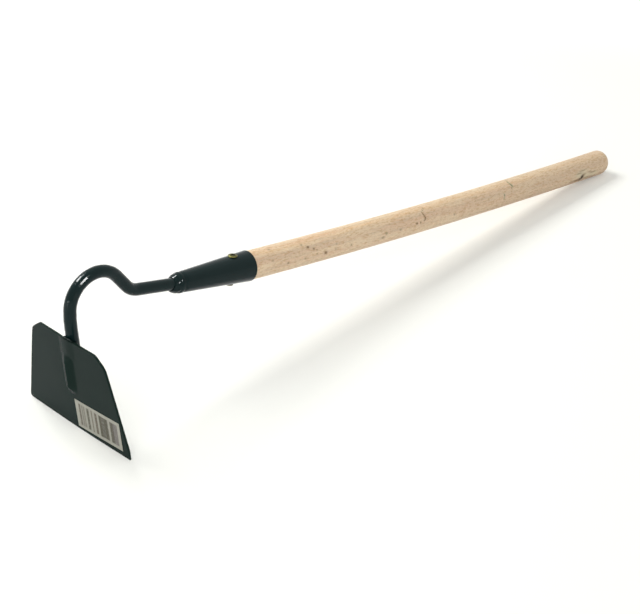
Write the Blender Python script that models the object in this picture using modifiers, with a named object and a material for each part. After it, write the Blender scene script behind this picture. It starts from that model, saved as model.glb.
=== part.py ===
"""Garden hoe with a swan neck: a pressed steel blade, a bent round bar, a rolled socket and a wooden handle.

The hoe stands on the blade's cutting edge and on the butt of its handle. Each piece is drawn in the frame of
the piece that carries it: the blade's frame has X through the plate towards the handle, Y along the cutting
edge and Z up the plate, and the socket's frame has Z along the socket towards the handle. Both frames hang
on one empty, which puts the origin on the ground below the middle of the hoe.
"""

import math

import bmesh
import bpy
from mathutils import Vector

# Driving dimensions, in metres and degrees

# Blade plate
BLADE_WIDTH = 0.160
BLADE_HEIGHT = 0.1033
SHOULDER_WIDTH = 0.1122
SHOULDER_HEIGHT = 0.0936
TOP_WIDTH = 0.0860
PLATE_THICKNESS = 0.0025
EDGE_THICKNESS = 0.0010
GRIND_HEIGHT = 0.009
NEAR_CORNER_RADIUS = 0.0012
FAR_CORNER_RADIUS = 0.0040
UPPER_CORNER_RADIUS = 0.0015
SHOULDER_ROUNDING = 0.0025
BLADE_LEAN = 3.44

# Dish across the plate: a curved middle between two flat wings
WING_ANGLE = 1.025
CURVED_HALF_WIDTH = 0.035

# Pressed rib on the centre line, and the shallow seat of the bar above it
RIB_HALF_WIDTH = 0.0095
RIB_HEIGHT = 0.0043
RIB_LOW_CENTRE = 0.0497
RIB_HIGH_CENTRE = 0.0775
RIB_ASIDE = 0.0010
SEAT_HALF_WIDTH = 0.012
SEAT_HEIGHT = 0.0009
SEAT_START = 0.080
SEAT_RUN_IN = 0.006

# Swan-neck bar
BAR_RADIUS = 0.00630
BAR_END_HEIGHT = 0.0875
STRAIGHT_TOP = 0.1110
RISE_RADIUS = 0.120
RISE_EXIT_SLOPE = 83.9
CROWN_RADIUS = 0.0313
CROWN_EXIT_SLOPE = -54.15
DROP_LENGTH = 0.0184
LOWER_BEND_RADIUS = 0.0235
RUN_SLOPE = -14.36
RUN_LENGTH = 0.0456
LAST_BEND_RADIUS = 0.015
BAR_TO_CONE = 0.0074
BAR_IN_CONE = 0.012
BEND_STEP = 5.0
BAR_SIDES_RESOLUTION = 10

# Socket, along its own axis from the small end of the cone
SOCKET_SLOPE = -9.78
SOCKET_LENGTH = 0.0912
SOCKET_SMALL_RADIUS = 0.01063
SOCKET_MOUTH_RADIUS = 0.01630
SHEET_THICKNESS = 0.0012
SEAM_WIDTH = 0.0009
SEAM_AZIMUTH = 28.0
SCREW_HOLE_RADIUS = 0.0025
ROLLED_END_LENGTH = 0.0045
ROLLED_END_DEPTH = 0.0008

# Wooden handle, along the socket's axis from the mouth
HANDLE_RADIUS = 0.01535
HANDLE_LENGTH = 0.6186
HANDLE_BOW = 0.01882
HANDLE_TILT = 0.61
BUTT_DEPTH = 0.012
NOSE_LENGTH = 0.070
NOSE_EASE = 0.001
SHOULDER_EASE = 0.0005

# Screws
SCREW_HEAD_RADIUS = 0.0050
SCREW_HEAD_HEIGHT = 0.0015
SCREW_SHANK_RADIUS = 0.0021
SCREW_SHANK_LENGTH = 0.012
SCREW_TIP_LENGTH = 0.004
SCREW_HEAD_STAND_OFF = 0.0002
RECESS_DEPTH = 0.0010
RECESS_WIDTH = 0.0012
RECESS_LENGTH = 0.0056
UPPER_SCREW_STATION = 0.0695
LOWER_SCREW_STATION = 0.0677
UPPER_SCREW_AZIMUTH = 180.0
LOWER_SCREW_AZIMUTH = 0.0

# Welds
BACK_BEAD_RADIUS = 0.0028
BACK_BEAD_CORNER = 0.0045
BACK_BEAD_BELOW_TOP = 0.0030
TOP_BEAD_RADIUS = 0.0017
TOP_BEAD_MIDDLE = -0.0030
TOP_BEAD_REACH = 0.0064
COLLAR_LENGTH = 0.0125
COLLAR_RISE = 0.0046
COLLAR_VALLEY_DEPTH = 0.0003
COLLAR_SLANT = 0.25

# Price label on the front of the near wing
LABEL_CENTRE = (-0.0354, 0.0206)
LABEL_LENGTH = 0.0677
LABEL_WIDTH = 0.0316
LABEL_TURN = -2.1
LABEL_THICKNESS = 0.00015
LABEL_STAND_OFF = 0.00012

# Pieces that touch keep this gap
GAP = 0.0003

# The middle of the hoe's length, from the cutting edge
ORIGIN_X = 0.4120
EDGE_DROP = 0.00014

TURNED_SIDES = 48


def clear_scene():
    for leftover in list(bpy.data.objects):
        bpy.data.objects.remove(leftover, do_unlink=True)


def new_collection(name):
    collection = bpy.data.collections.new(name)
    bpy.context.scene.collection.children.link(collection)
    return collection


def new_material(name, colour, roughness, metallic):
    material = bpy.data.materials.new(name)
    material.use_nodes = True
    shader = material.node_tree.nodes["Principled BSDF"]
    shader.inputs["Base Color"].default_value = (*colour, 1.0)
    shader.inputs["Roughness"].default_value = roughness
    shader.inputs["Metallic"].default_value = metallic
    material.diffuse_color = (*colour, 1.0)
    return material


def add_empty(name, location, rotation, parent, collection):
    empty = bpy.data.objects.new(name, None)
    empty.location = location
    empty.rotation_euler = rotation
    empty.parent = parent
    collection.objects.link(empty)
    return empty


def add_object(name, data, material, parent, collection):
    obj = bpy.data.objects.new(name, data)
    obj.parent = parent
    collection.objects.link(obj)
    if material is not None:
        data.materials.append(material)
    return obj


def smooth(obj, sharp_angle=35.0):
    obj.data.shade_smooth()
    obj.data.set_sharp_from_angle(angle=math.radians(sharp_angle))


def realise(obj):
    """Replaces the object's data by the mesh that its modifiers or its curve make, with the seams welded."""
    bpy.context.view_layer.update()
    evaluated = obj.evaluated_get(bpy.context.evaluated_depsgraph_get())
    mesh = bpy.data.meshes.new_from_object(evaluated)
    work = bmesh.new()
    work.from_mesh(mesh)
    bmesh.ops.remove_doubles(work, verts=work.verts, dist=1e-6)
    bmesh.ops.recalc_face_normals(work, faces=work.faces)
    work.to_mesh(mesh)
    work.free()
    solid = bpy.data.objects.new(obj.name, mesh)
    solid.parent = obj.parent
    solid.location = obj.location
    solid.rotation_euler = obj.rotation_euler
    for collection in obj.users_collection:
        collection.objects.link(solid)
    name = obj.name
    bpy.data.objects.remove(obj, do_unlink=True)
    solid.name = name
    return solid


def add_turned(name, profile, material, parent, collection, closed=False, sides=TURNED_SIDES):
    """A solid turned about Z. The profile holds (radius, height) pairs and runs down the outer side."""
    mesh = bpy.data.meshes.new(name)
    points = [(radius, 0.0, height) for radius, height in profile]
    edges = [(i, i + 1) for i in range(len(points) - 1)]
    if closed:
        edges.append((len(points) - 1, 0))
    mesh.from_pydata(points, edges, [])
    obj = add_object(name, mesh, material, parent, collection)
    turn = obj.modifiers.new("Turn", "SCREW")
    turn.axis = "Z"
    turn.steps = sides
    turn.render_steps = sides
    turn.use_merge_vertices = True
    turn.merge_threshold = 1e-5
    return realise(obj)


def add_tube(name, points, radii, material, parent, collection, resolution):
    """A round bar or bead along points, with a radius at each point."""
    curve = bpy.data.curves.new(name, "CURVE")
    curve.dimensions = "3D"
    curve.bevel_depth = max(radii)
    curve.bevel_resolution = resolution
    curve.use_fill_caps = True
    spline = curve.splines.new("POLY")
    spline.points.add(len(points) - 1)
    for place, point, radius in zip(spline.points, points, radii):
        place.co = (*point, 1.0)
        place.radius = radius / max(radii)
    return add_object(name, curve, material, parent, collection)


def boolean(obj, other, operation="DIFFERENCE"):
    cut = obj.modifiers.new(f"{operation.title()} {other.name}", "BOOLEAN")
    cut.operation = operation
    cut.object = other
    cut.solver = "EXACT"


def as_cutter(obj, cutters):
    for collection in list(obj.users_collection):
        collection.objects.unlink(obj)
    cutters.objects.link(obj)
    obj.hide_render = True
    obj.display_type = "WIRE"
    return obj


def add_cylinder_cutter(name, radius, low, high, parent, cutters, sides=32):
    """A cylinder along Z from low to high."""
    mesh = bpy.data.meshes.new(name)
    work = bmesh.new()
    bmesh.ops.create_cone(
        work, cap_ends=True, segments=sides, radius1=radius, radius2=radius, depth=high - low
    )
    bmesh.ops.translate(work, verts=work.verts, vec=(0.0, 0.0, (low + high) / 2))
    work.to_mesh(mesh)
    work.free()
    return as_cutter(add_object(name, mesh, None, parent, cutters), cutters)


def add_box_cutter(name, size, centre, parent, cutters):
    mesh = bpy.data.meshes.new(name)
    work = bmesh.new()
    bmesh.ops.create_cube(work, size=1.0)
    bmesh.ops.scale(work, verts=work.verts, vec=size)
    bmesh.ops.translate(work, verts=work.verts, vec=centre)
    work.to_mesh(mesh)
    work.free()
    return as_cutter(add_object(name, mesh, None, parent, cutters), cutters)


# Shape of the plate, as functions of the place across it and up it


def corner_inset(distance, radius):
    """How far a rounded corner draws the side in, at this distance from the end of the side."""
    if distance >= radius:
        return 0.0
    return radius - math.sqrt(radius**2 - (radius - distance) ** 2)


def half_width(height, corner_radius):
    """The plate's reach to one side: a slanted side, then a cut shoulder, with every corner eased."""
    slant = (BLADE_WIDTH - SHOULDER_WIDTH) / 2 / SHOULDER_HEIGHT
    side = BLADE_WIDTH / 2 - slant * height
    cut = (SHOULDER_WIDTH - TOP_WIDTH) / 2 / (BLADE_HEIGHT - SHOULDER_HEIGHT)
    shoulder = TOP_WIDTH / 2 + cut * (BLADE_HEIGHT - height)
    eased = (side + shoulder - math.hypot(side - shoulder, SHOULDER_ROUNDING)) / 2
    lower = corner_inset(height, corner_radius)
    upper = corner_inset(BLADE_HEIGHT - height, UPPER_CORNER_RADIUS)
    return eased - lower - upper


def dish(across):
    """How far the plate bows out to the front here, from the line between its lower corners."""
    slope = math.tan(math.radians(WING_ANGLE))
    across = abs(across)
    if across >= CURVED_HALF_WIDTH:
        return slope * (BLADE_WIDTH / 2 - across)
    crown = slope * (BLADE_WIDTH / 2 - CURVED_HALF_WIDTH / 2)
    return crown - slope * across**2 / (2 * CURVED_HALF_WIDTH)


def bump(distance, reach):
    """A rounded hump, 1 in its middle and 0 from reach outwards."""
    ratio = min(abs(distance) / reach, 1.0)
    return (1.0 - ratio**2) ** 1.5


def ridge(distance, reach):
    """A ridge with a narrow crest and even flanks, 1 in its middle and 0 from reach outwards."""
    ratio = min(abs(distance) / reach, 1.0)
    return (1.0 - ratio**1.4) ** 1.5


def relief(across, height):
    """How far the pressing stands out at the front: the rib, and the seat of the bar above it."""
    beyond = max(RIB_LOW_CENTRE - height, height - RIB_HIGH_CENTRE, 0.0)
    rib = RIB_HEIGHT * ridge(math.hypot(across - RIB_ASIDE, beyond), RIB_HALF_WIDTH)
    run_in = min(max((height - SEAT_START) / SEAT_RUN_IN, 0.0), 1.0)
    seat = SEAT_HEIGHT * bump(across, SEAT_HALF_WIDTH) * run_in**2 * (3 - 2 * run_in)
    return math.hypot(rib, seat)


def front_surface(across, height):
    return -PLATE_THICKNESS / 2 - dish(across) - relief(across, height)


def spread(start, end, count):
    """Count places from start to end, both counted."""
    return [start + (end - start) * i / (count - 1) for i in range(count)]


def plate_columns():
    """Places across one half of the curved middle, close together over the rib."""
    rib = spread(0.0, SEAT_HALF_WIDTH, 17)
    return rib + spread(SEAT_HALF_WIDTH, CURVED_HALF_WIDTH, 5)[1:]


def plate_rows():
    corner = [FAR_CORNER_RADIUS * part for part in (0.0, 0.08, 0.3, 0.6, 1.0)]
    low_end = RIB_LOW_CENTRE - RIB_HALF_WIDTH
    high_end = RIB_HIGH_CENTRE + RIB_HALF_WIDTH
    rows = corner + [GRIND_HEIGHT, 0.024]
    rows += spread(low_end, RIB_LOW_CENTRE, 11)
    rows += spread(RIB_LOW_CENTRE, RIB_HIGH_CENTRE, 5)[1:]
    rows += spread(RIB_HIGH_CENTRE, high_end, 9)[1:]
    shoulder_low = SHOULDER_HEIGHT - SHOULDER_ROUNDING
    rows += [(high_end + shoulder_low) / 2]
    rows += spread(shoulder_low, SHOULDER_HEIGHT + SHOULDER_ROUNDING, 5)
    rows += [BLADE_HEIGHT - UPPER_CORNER_RADIUS * part for part in (2.5, 1.0, 0.5, 0.15, 0.0)]
    return rows


def add_plate(name, material, parent, collection, extra=0.0):
    """The pressed plate as one surface with thickness. Extra makes it larger all over, as a cutter needs."""
    middle = plate_columns()
    rows = plate_rows()
    columns = [-place for place in reversed(middle[1:])] + middle
    across_count = len(columns) + 4
    mesh = bpy.data.meshes.new(name)
    work = bmesh.new()
    bmesh.ops.create_grid(
        work, x_segments=across_count - 1, y_segments=len(rows) - 1, size=0.5
    )
    top_row = len(rows) - 1
    lower_edge = []
    for vertex in work.verts:
        column = round((vertex.co.x + 0.5) * (across_count - 1))
        row = round((vertex.co.y + 0.5) * top_row)
        height = rows[row]
        if column < 2:
            wing = half_width(height, NEAR_CORNER_RADIUS) - CURVED_HALF_WIDTH
            across = -CURVED_HALF_WIDTH - wing * (2 - column) / 2
        elif column > across_count - 3:
            wing = half_width(height, FAR_CORNER_RADIUS) - CURVED_HALF_WIDTH
            across = CURVED_HALF_WIDTH + wing * (column - across_count + 3) / 2
        else:
            across = columns[column - 2]
        lift = extra if row == top_row else 0.0
        vertex.co = (front_surface(across, height) - extra, across, height + lift)
        if height < GRIND_HEIGHT:
            lower_edge.append((vertex.index, height))
    work.to_mesh(mesh)
    work.free()
    # The first face shows which way the grid faces; the front looks towards -X.
    if mesh.polygons[0].normal.x > 0:
        mesh.flip_normals()
    plate = add_object(name, mesh, material, parent, collection)
    grind = plate.vertex_groups.new(name="grind")
    everywhere = list(range(len(mesh.vertices)))
    grind.add(everywhere, 1.0, "REPLACE")
    thin = EDGE_THICKNESS / PLATE_THICKNESS
    for index, height in lower_edge:
        grind.add([index], thin + (1 - thin) * height / GRIND_HEIGHT, "REPLACE")
    press = plate.modifiers.new("Thickness", "SOLIDIFY")
    press.thickness = PLATE_THICKNESS + 2 * extra
    press.offset = -1.0
    press.use_even_offset = True
    if extra == 0.0:
        press.vertex_group = grind.name
    return plate


def bar_centre_behind():
    """How far the bar's centre line lies behind the middle of the plate's thickness, in the blade's frame."""
    return PLATE_THICKNESS / 2 - dish(0.0) - SEAT_HEIGHT + GAP + BAR_RADIUS


def bar_path():
    """Centre line of the bar in the XZ plane up to its end inside the cone, and where the cone starts."""
    lean = math.radians(BLADE_LEAN)
    behind = bar_centre_behind()
    place = Vector((behind * math.cos(lean), 0.0, behind * math.sin(lean)))
    place += Vector((-math.sin(lean), 0.0, math.cos(lean))) * BAR_END_HEIGHT
    heading = 90.0 + BLADE_LEAN
    points = [place.copy()]

    def go_straight(length):
        angle = math.radians(heading)
        place.x += length * math.cos(angle)
        place.z += length * math.sin(angle)
        points.append(place.copy())

    def bend_to(new_heading, radius):
        nonlocal heading
        turn = new_heading - heading
        steps = max(2, math.ceil(abs(turn) / BEND_STEP))
        chord = 2 * radius * math.sin(math.radians(abs(turn)) / steps / 2)
        for _ in range(steps):
            heading += turn / steps / 2
            go_straight(chord)
            heading += turn / steps / 2

    go_straight(STRAIGHT_TOP - BAR_END_HEIGHT)
    bend_to(RISE_EXIT_SLOPE, RISE_RADIUS)
    bend_to(CROWN_EXIT_SLOPE, CROWN_RADIUS)
    go_straight(DROP_LENGTH)
    bend_to(RUN_SLOPE, LOWER_BEND_RADIUS)
    go_straight(RUN_LENGTH)
    bend_to(SOCKET_SLOPE, LAST_BEND_RADIUS)
    go_straight(BAR_TO_CONE)
    cone_start = place.copy()
    go_straight(BAR_IN_CONE)
    return points, cone_start


def add_gooseneck(points, material, parent, collection):
    radii = [BAR_RADIUS] * len(points)
    bar = add_tube("gooseneck", points, radii, material, parent, collection, BAR_SIDES_RESOLUTION)
    bar = realise(bar)
    smooth(bar)
    return bar


def lumpy(radius, index, strength):
    """A bead's radius at one of its points: two ripples of unlike length, as a hand-laid weld has."""
    return radius * (1 + strength * (0.6 * math.sin(2.1 * index) + 0.4 * math.sin(5.3 * index + 1.0)))


def add_bar_clearance(points, parent, cutters):
    """The room that the bar takes up, with its gap, for cutting the welds."""
    start = points[0] + (points[0] - points[1]).normalized() * GAP
    path = [start] + points[1:]
    radii = [BAR_RADIUS + GAP] * len(path)
    cutter = add_tube("bar_clearance", path, radii, None, parent, cutters, BAR_SIDES_RESOLUTION)
    return as_cutter(realise(cutter), cutters)


def add_top_weld(cutting, material, parent, collection):
    """Bead along the plate's top edge, in front of the bar."""
    points, radii = [], []
    height = BLADE_HEIGHT + 0.3 * TOP_BEAD_RADIUS
    for index, offset in enumerate(spread(-TOP_BEAD_REACH, TOP_BEAD_REACH, 17)):
        across = TOP_BEAD_MIDDLE + offset
        middle = front_surface(across, BLADE_HEIGHT) + PLATE_THICKNESS / 2
        points.append((middle, across, height))
        taper = math.sqrt(1 - 0.6 * (offset / TOP_BEAD_REACH) ** 4)
        radii.append(lumpy(TOP_BEAD_RADIUS, index, 0.16) * taper)
    bead = realise(
        add_tube("blade_weld_top", points, radii, material, parent, collection, 4)
    )
    for cutter in cutting:
        boolean(bead, cutter)
    smooth(bead, 50.0)
    return bead


def add_back_weld(cutting, material, parent, collection):
    """Bead down one side of the bar, round its end and up the other side."""
    side = BAR_RADIUS + 0.25 * BACK_BEAD_RADIUS
    depth = bar_centre_behind() - 0.55 * BAR_RADIUS
    low = BAR_END_HEIGHT - 0.3 * BACK_BEAD_RADIUS
    high = BLADE_HEIGHT - BACK_BEAD_BELOW_TOP
    corner = BACK_BEAD_CORNER
    outline = [(side, z) for z in spread(high, low + corner, 9)]
    for angle in spread(0.0, 90.0, 5)[1:]:
        turn = math.radians(angle)
        outline.append((side - corner + corner * math.cos(turn), low + corner - corner * math.sin(turn)))
    other_side = [(-y, z) for y, z in reversed(outline)]
    outline += [(0.0, low)] + other_side
    points = [(depth, y, z) for y, z in outline]
    radii = [lumpy(BACK_BEAD_RADIUS, i, 0.10) for i in range(len(points))]
    bead = realise(
        add_tube("blade_weld_back", points, radii, material, parent, collection, 4)
    )
    for cutter in cutting:
        boolean(bead, cutter)
    smooth(bead, 50.0)
    return bead


def cone_radius(station):
    """Outer radius of the cone at a station along its axis."""
    return SOCKET_SMALL_RADIUS + (SOCKET_MOUTH_RADIUS - SOCKET_SMALL_RADIUS) * station / SOCKET_LENGTH


def screw_places():
    """Name, station and azimuth of each screw."""
    return (
        ("screw_upper", UPPER_SCREW_STATION, UPPER_SCREW_AZIMUTH),
        ("screw_lower", LOWER_SCREW_STATION, LOWER_SCREW_AZIMUTH),
    )


def screw_frame(station, azimuth):
    """Where a screw's head sits on the cone, and the way it points, square to the sheet."""
    taper = math.atan2(SOCKET_MOUTH_RADIUS - SOCKET_SMALL_RADIUS, SOCKET_LENGTH)
    turn = math.radians(azimuth)
    outward = Vector(
        (math.cos(turn) * math.cos(taper), math.sin(turn) * math.cos(taper), -math.sin(taper))
    )
    on_cone = Vector(
        (math.cos(turn) * cone_radius(station), math.sin(turn) * cone_radius(station), station)
    )
    return on_cone, outward


def point_along(obj, place, direction):
    obj.location = place
    obj.rotation_euler = direction.to_track_quat("Z", "Y").to_euler()


def add_socket(material, parent, collection, cutters):
    """Cone rolled from sheet, with a drawn-in small end, an open seam and a hole for each screw."""
    edge = SHEET_THICKNESS / 4
    mouth, small = SOCKET_LENGTH, 0.0
    rolled_radius = cone_radius(ROLLED_END_LENGTH)
    outer = [
        (SOCKET_MOUTH_RADIUS - edge, mouth),
        (SOCKET_MOUTH_RADIUS, mouth - edge),
        (cone_radius(0.5 * mouth), 0.5 * mouth),
        (rolled_radius, ROLLED_END_LENGTH),
        (rolled_radius - 0.5 * ROLLED_END_DEPTH, 0.5 * ROLLED_END_LENGTH),
        (SOCKET_SMALL_RADIUS - ROLLED_END_DEPTH, small),
    ]
    inner = [
        (SOCKET_SMALL_RADIUS - ROLLED_END_DEPTH - SHEET_THICKNESS, small),
        (rolled_radius - SHEET_THICKNESS, ROLLED_END_LENGTH),
        (cone_radius(0.5 * mouth) - SHEET_THICKNESS, 0.5 * mouth),
        (SOCKET_MOUTH_RADIUS - SHEET_THICKNESS, mouth - edge),
        (SOCKET_MOUTH_RADIUS - SHEET_THICKNESS + edge, mouth),
    ]
    socket = add_turned("socket", outer + inner, material, parent, collection, True, 64)
    slit_in, slit_out = 0.5 * SOCKET_SMALL_RADIUS, 1.5 * SOCKET_MOUTH_RADIUS
    seam = add_box_cutter(
        "seam_slit",
        (slit_out - slit_in, SEAM_WIDTH, 1.2 * mouth),
        ((slit_in + slit_out) / 2, 0.0, 0.5 * mouth),
        parent,
        cutters,
    )
    seam.rotation_euler = (0.0, 0.0, math.radians(SEAM_AZIMUTH))
    boolean(socket, seam)
    for name, station, azimuth in screw_places():
        hole = add_cylinder_cutter(
            f"{name}_hole", SCREW_HOLE_RADIUS, -0.006, 0.006, parent, cutters
        )
        point_along(hole, *screw_frame(station, azimuth))
        boolean(socket, hole)
    smooth(socket)
    return socket


def collar_radius(along):
    """Outer radius of the collar at a distance from its front end: two beads, rising to the cone."""
    share = along / COLLAR_LENGTH
    body = BAR_RADIUS + COLLAR_RISE * math.sin(0.5 * math.pi * min(share / 0.86, 1.0)) ** 0.9
    valley = COLLAR_VALLEY_DEPTH * math.exp(-(((share - 0.58) / 0.08) ** 2))
    return body - valley


def add_socket_weld(clearance, material, parent, collection):
    """Lumpy collar of two beads between the bar and the small end of the cone."""
    length = COLLAR_LENGTH - GAP
    stations = [length * (i / 20) ** 1.3 for i in range(21)]
    profile = [(0.0, -GAP)]
    profile += [(collar_radius(along), along - COLLAR_LENGTH) for along in reversed(stations)]
    profile += [(0.0, -COLLAR_LENGTH)]
    collar = add_turned("socket_weld", profile, material, parent, collection)
    for vertex in collar.data.vertices:
        along = 1 + vertex.co.z / COLLAR_LENGTH
        angle = math.atan2(vertex.co.y, vertex.co.x)
        lump = 0.55 * math.sin(4 * angle + 0.6) + 0.45 * math.sin(7 * angle + 9 * along)
        grow = 1 + 0.03 * lump * math.sin(math.pi * min(max(along, 0.0), 1.0))
        vertex.co.x *= grow
        vertex.co.y *= grow
        # Down is +X here, and the bead starts further forward below
        vertex.co.z -= COLLAR_SLANT * vertex.co.x * min(max(1 - along, 0.0), 1.0)
    boolean(collar, clearance)
    smooth(collar, 60.0)
    return collar


def handle_profile():
    """The handle straight along its axis, from the butt to a shoulder at the mouth and the tapered nose."""
    dome_start = HANDLE_LENGTH - BUTT_DEPTH
    profile = []
    for angle in spread(90.0, 0.0, 9):
        turn = math.radians(angle)
        # A dome a little fuller than an ellipse
        radius = HANDLE_RADIUS * math.cos(turn) ** 0.85 if angle < 90.0 else 0.0
        profile.append((radius, dome_start + BUTT_DEPTH * math.sin(turn)))
    shoulder = GAP + SHOULDER_EASE
    profile += [(HANDLE_RADIUS, z) for z in spread(dome_start, shoulder, 18)[1:]]
    clearance = SHEET_THICKNESS + GAP
    nose_radius = cone_radius(SOCKET_LENGTH - NOSE_LENGTH) - clearance
    profile += [
        (HANDLE_RADIUS - SHOULDER_EASE, GAP),
        (SOCKET_MOUTH_RADIUS - clearance, GAP),
        (SOCKET_MOUTH_RADIUS - clearance, 0.0),
        (nose_radius, -NOSE_LENGTH + NOSE_EASE),
        (nose_radius - NOSE_EASE, -NOSE_LENGTH),
        (0.0, -NOSE_LENGTH),
    ]
    return profile


def add_handle(material, parent, collection, cutters):
    """The turned handle, bowed a little along its free length, with a pilot hole for each screw."""
    handle = add_turned("handle", handle_profile(), material, parent, collection)
    for vertex in handle.data.vertices:
        along = max(vertex.co.z, 0.0)
        # Up is -X in the socket's frame
        vertex.co.x -= HANDLE_BOW * (along / HANDLE_LENGTH) ** 2
        vertex.co.x -= math.tan(math.radians(HANDLE_TILT)) * along
    handle.location = (0.0, 0.0, SOCKET_LENGTH)
    for name, station, azimuth in screw_places():
        depth = SCREW_SHANK_LENGTH + GAP
        pilot = add_cylinder_cutter(
            f"{name}_pilot", SCREW_SHANK_RADIUS + GAP, -depth, 0.004, parent, cutters
        )
        point_along(pilot, *screw_frame(station, azimuth))
        boolean(handle, pilot)
    smooth(handle)
    return handle


def screw_profile():
    """Pan head above the sheet and a plain shank with a point below it."""
    head, rise = SCREW_HEAD_RADIUS, SCREW_HEAD_HEIGHT
    seat = SCREW_HEAD_STAND_OFF
    shank = SCREW_SHANK_RADIUS
    dome = []
    for angle in spread(90.0, 0.0, 7):
        turn = math.radians(angle)
        radius = head * math.cos(turn) if angle < 90.0 else 0.0
        dome.append((radius, seat + 0.3 * rise + 0.7 * rise * math.sin(turn)))
    return dome + [
        (head, seat + 0.15 * rise),
        (0.94 * head, seat),
        (shank, seat),
        (shank, -SCREW_SHANK_LENGTH + SCREW_TIP_LENGTH),
        (0.0, -SCREW_SHANK_LENGTH),
    ]


def add_screw(name, station, azimuth, material, parent, collection, cutters):
    screw = add_turned(name, screw_profile(), material, parent, collection, sides=32)
    place, outward = screw_frame(station, azimuth)
    point_along(screw, place, outward)
    top = SCREW_HEAD_HEIGHT + SCREW_HEAD_STAND_OFF
    arms = ((RECESS_LENGTH, RECESS_WIDTH), (RECESS_WIDTH, RECESS_LENGTH))
    for index, size in enumerate(arms):
        recess = add_box_cutter(
            f"{name}_recess_{index + 1}",
            (*size, 2 * RECESS_DEPTH),
            (0.0, 0.0, top),
            parent,
            cutters,
        )
        point_along(recess, place, outward)
        boolean(screw, recess)
    smooth(screw)
    return screw


def add_label(material, parent, collection):
    """Paper label that follows the dish of the plate."""
    mesh = bpy.data.meshes.new("price_label")
    work = bmesh.new()
    bmesh.ops.create_grid(work, x_segments=14, y_segments=2, size=0.5)
    turn = math.radians(LABEL_TURN)
    for vertex in work.verts:
        along = -LABEL_LENGTH * vertex.co.x
        up = LABEL_WIDTH * vertex.co.y
        across = LABEL_CENTRE[0] + along * math.cos(turn) - up * math.sin(turn)
        height = LABEL_CENTRE[1] + along * math.sin(turn) + up * math.cos(turn)
        front = front_surface(across, height) - LABEL_STAND_OFF
        vertex.co = (front, across, height)
    work.to_mesh(mesh)
    work.free()
    if mesh.polygons[0].normal.x > 0:
        mesh.flip_normals()
    label = add_object("price_label", mesh, material, parent, collection)
    paper = label.modifiers.new("Paper", "SOLIDIFY")
    paper.thickness = LABEL_THICKNESS
    paper.offset = 1.0
    return label


def build():
    clear_scene()
    hoe = new_collection("garden_hoe")
    cutters = new_collection("cutters")
    cutters.hide_render = True

    paint = new_material("green_black_paint", (0.016, 0.024, 0.022), 0.25, 0.0)
    blade_paint = new_material("blade_paint", (0.035, 0.042, 0.038), 0.42, 0.0)
    beech = new_material("beech", (0.62, 0.45, 0.29), 0.55, 0.0)
    yellow_zinc = new_material("yellow_zinc", (0.55, 0.47, 0.20), 0.32, 1.0)
    paper = new_material("label_paper", (0.60, 0.58, 0.51), 0.6, 0.0)

    root = add_empty("hoe_frame", (-ORIGIN_X, 0.0, EDGE_DROP), (0.0, 0.0, 0.0), None, hoe)
    blade_frame = add_empty(
        "blade_frame", (0.0, 0.0, 0.0), (0.0, -math.radians(BLADE_LEAN), 0.0), root, hoe
    )
    points, cone_start = bar_path()
    socket_turn = math.radians(90.0 - SOCKET_SLOPE)
    socket_frame = add_empty("socket_frame", cone_start, (0.0, socket_turn, 0.0), root, hoe)

    add_plate("blade", blade_paint, blade_frame, hoe)
    add_gooseneck(points, paint, root, hoe)

    bar_clearance = add_bar_clearance(points, root, cutters)
    plate_clearance = as_cutter(
        add_plate("plate_clearance", None, blade_frame, cutters, GAP), cutters
    )
    cutting = (bar_clearance, plate_clearance)
    add_top_weld(cutting, paint, blade_frame, hoe)
    add_back_weld(cutting, paint, blade_frame, hoe)

    add_socket(paint, socket_frame, hoe, cutters)
    add_socket_weld(bar_clearance, paint, socket_frame, hoe)
    add_handle(beech, socket_frame, hoe, cutters)
    for name, station, azimuth in screw_places():
        add_screw(name, station, azimuth, yellow_zinc, socket_frame, hoe, cutters)
    add_label(paper, blade_frame, hoe)


build()
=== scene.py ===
"""Looks of the garden hoe: paint, wood, plated screws, label, weld beads, studio and camera.

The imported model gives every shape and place. Lengths are in metres, in the hoe's own frame: +X runs along the
handle to the butt, +Y along the cutting edge and +Z up from the ground.
"""

import logging
import math
from dataclasses import dataclass, field
from enum import Enum
from typing import Callable, Union

import bmesh
import bpy
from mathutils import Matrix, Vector, noise


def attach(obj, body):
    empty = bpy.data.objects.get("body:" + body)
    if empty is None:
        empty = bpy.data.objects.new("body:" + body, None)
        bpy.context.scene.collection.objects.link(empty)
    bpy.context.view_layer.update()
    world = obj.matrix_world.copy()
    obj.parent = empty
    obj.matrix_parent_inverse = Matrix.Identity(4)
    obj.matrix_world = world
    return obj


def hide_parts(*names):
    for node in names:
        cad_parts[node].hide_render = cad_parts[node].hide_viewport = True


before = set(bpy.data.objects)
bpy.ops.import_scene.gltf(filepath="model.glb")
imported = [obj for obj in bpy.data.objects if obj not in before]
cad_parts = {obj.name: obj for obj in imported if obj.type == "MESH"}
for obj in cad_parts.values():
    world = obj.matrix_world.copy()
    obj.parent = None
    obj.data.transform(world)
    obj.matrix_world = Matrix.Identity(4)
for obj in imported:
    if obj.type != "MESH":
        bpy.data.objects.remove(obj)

LOG = logging.getLogger("garden_hoe")
BODY = "root"
JOINED_WITHIN = 2e-6  # Points of a CAD mesh that are this near each other are one point
WATTS_AT_WHITE = 4.0  # Watts a square metre that make a soft box as bright as plain white
SENSOR_WIDTH = 36.0  # Width of the camera's sensor in millimetres

Colour = tuple[float, float, float]
Place = tuple[float, float, float]
Socket = bpy.types.NodeSocket
Feed = Union[Socket, float, tuple]
Inputs = dict[Union[str, int], Feed]


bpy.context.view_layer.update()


# Laying nodes


@dataclass(frozen=True)
class Step:
    """A smooth step: the values at which it starts and ends, and its levels before and after."""

    low: float
    high: float
    before: float = 0.0
    after: float = 1.0


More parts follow.
